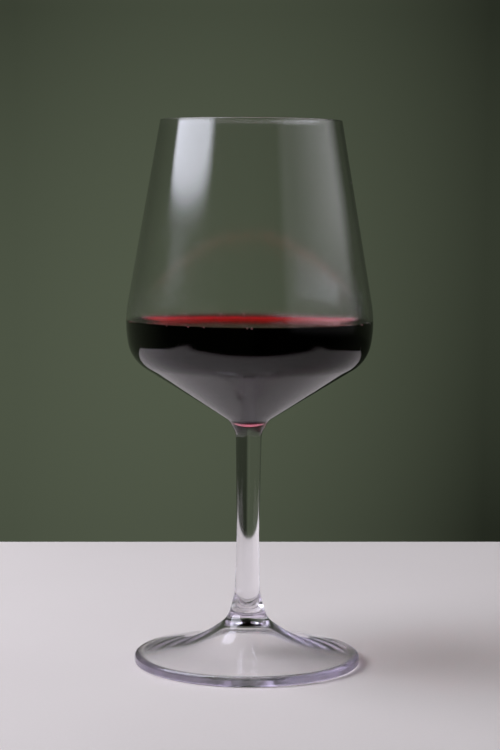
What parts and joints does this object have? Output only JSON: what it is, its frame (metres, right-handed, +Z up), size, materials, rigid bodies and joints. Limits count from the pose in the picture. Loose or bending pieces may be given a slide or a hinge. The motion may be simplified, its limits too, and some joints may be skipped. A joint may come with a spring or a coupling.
{
  "type": "glass of red wine",
  "caption": "Clear stemmed wine glass with a tapered bowl, a slender stem and a round foot, filled with red wine up to the widest part of the bowl.",
  "frame": {"origin": "middle of the foot's ground ring, on the surface that the glass stands on", "axes": "+Z up along the axis of the glass; the glass is the same all round, so +X and +Y are free"},
  "size_m": [0.0902, 0.0902, 0.1994],
  "materials": {
    "clear_glass": "clear colourless glass, smooth and polished",
    "red_wine": "clear dark red liquid, bright red where it is thin"
  },
  "bodies": {
    "root": {"glass": "clear_glass", "wine": "red_wine"}
  },
  "joints": []
}
